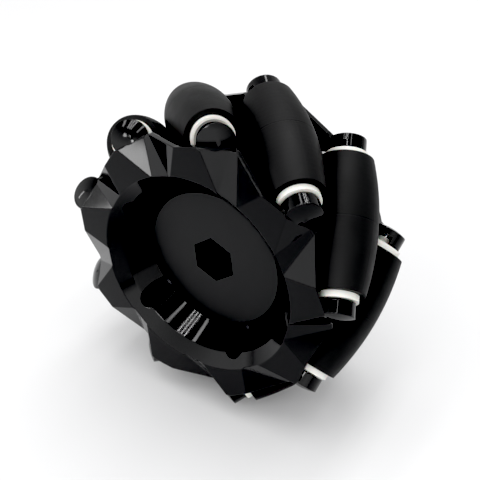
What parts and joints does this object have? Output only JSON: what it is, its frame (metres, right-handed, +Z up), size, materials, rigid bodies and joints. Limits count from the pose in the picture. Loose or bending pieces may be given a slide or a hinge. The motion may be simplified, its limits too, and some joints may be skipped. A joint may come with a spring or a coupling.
{
  "type": "mecanum wheel",
  "caption": "Mecanum wheel with a ring of free-spinning barrel rollers set at 45 degrees between two clamped black plastic hub plates with a hex drive bore.",
  "frame": {"origin": "centre of the wheel, on its axis and in the plane where the two hub plates meet", "axes": "Y is the wheel axis with the outer face looking along -Y, +Z is up and +X is to the right of someone looking at the outer face"},
  "size_m": [0.0965, 0.0434, 0.0965],
  "materials": {
    "plate": "high gloss black moulding with fine handling marks",
    "tread": "matte moulded rubber",
    "core": "satin white moulding",
    "pin": "ground steel",
    "screw": "black oxide, lightly oiled",
    "nut": "zinc plated"
  },
  "bodies": {
    "hub": {"front_plate": "plate", "back_plate": "plate", "clamp_screws": "screw", "clamp_nuts": "nut", "pin_1": "pin", "pin_2": "pin", "pin_3": "pin", "pin_4": "pin", "pin_5": "pin", "pin_6": "pin", "pin_7": "pin", "pin_8": "pin", "pin_9": "pin"},
    "roller_1": {"tread_1": "tread", "core_front_1": "core", "core_back_1": "core"},
    "roller_2": {"tread_2": "tread", "core_front_2": "core", "core_back_2": "core"},
    "roller_3": {"tread_3": "tread", "core_front_3": "core", "core_back_3": "core"},
    "roller_4": {"tread_4": "tread", "core_front_4": "core", "core_back_4": "core"},
    "roller_5": {"tread_5": "tread", "core_front_5": "core", "core_back_5": "core"},
    "roller_6": {"tread_6": "tread", "core_front_6": "core", "core_back_6": "core"},
    "roller_7": {"tread_7": "tread", "core_front_7": "core", "core_back_7": "core"},
    "roller_8": {"tread_8": "tread", "core_front_8": "core", "core_back_8": "core"},
    "roller_9": {"tread_9": "tread", "core_front_9": "core", "core_back_9": "core"}
  },
  "joints": [
    {"name": "roller_spin_1", "type": "hinge", "parent": "hub", "child": "roller_1", "pos_m": [0.03444, 0, 0.0171], "axis": [-0.3144, 0.7071, 0.6334], "continuous": true},
    {"name": "roller_spin_2", "type": "hinge", "parent": "hub", "child": "roller_2", "pos_m": [0.01539, 0, 0.03523], "axis": [-0.648, 0.7071, 0.2831], "continuous": true},
    {"name": "roller_spin_3", "type": "hinge", "parent": "hub", "child": "roller_3", "pos_m": [-0.01086, 0, 0.03689], "axis": [-0.6783, 0.7071, -0.1996], "continuous": true},
    {"name": "roller_spin_4", "type": "hinge", "parent": "hub", "child": "roller_4", "pos_m": [-0.03203, 0, 0.02128], "axis": [-0.3913, 0.7071, -0.589], "continuous": true},
    {"name": "roller_spin_5", "type": "hinge", "parent": "hub", "child": "roller_5", "pos_m": [-0.03821, 0, -0.00429], "axis": [0.0788, 0.7071, -0.7027], "continuous": true},
    {"name": "roller_spin_6", "type": "hinge", "parent": "hub", "child": "roller_6", "pos_m": [-0.02652, 0, -0.02784], "axis": [0.5121, 0.7071, -0.4876], "continuous": true},
    {"name": "roller_spin_7", "type": "hinge", "parent": "hub", "child": "roller_7", "pos_m": [-0.00241, 0, -0.03837], "axis": [0.7057, 0.7071, -0.0444], "continuous": true},
    {"name": "roller_spin_8", "type": "hinge", "parent": "hub", "child": "roller_8", "pos_m": [0.02282, 0, -0.03095], "axis": [0.5691, 0.7071, 0.4196], "continuous": true},
    {"name": "roller_spin_9", "type": "hinge", "parent": "hub", "child": "roller_9", "pos_m": [0.03737, 0, -0.00904], "axis": [0.1663, 0.7071, 0.6873], "continuous": true}
  ]
}
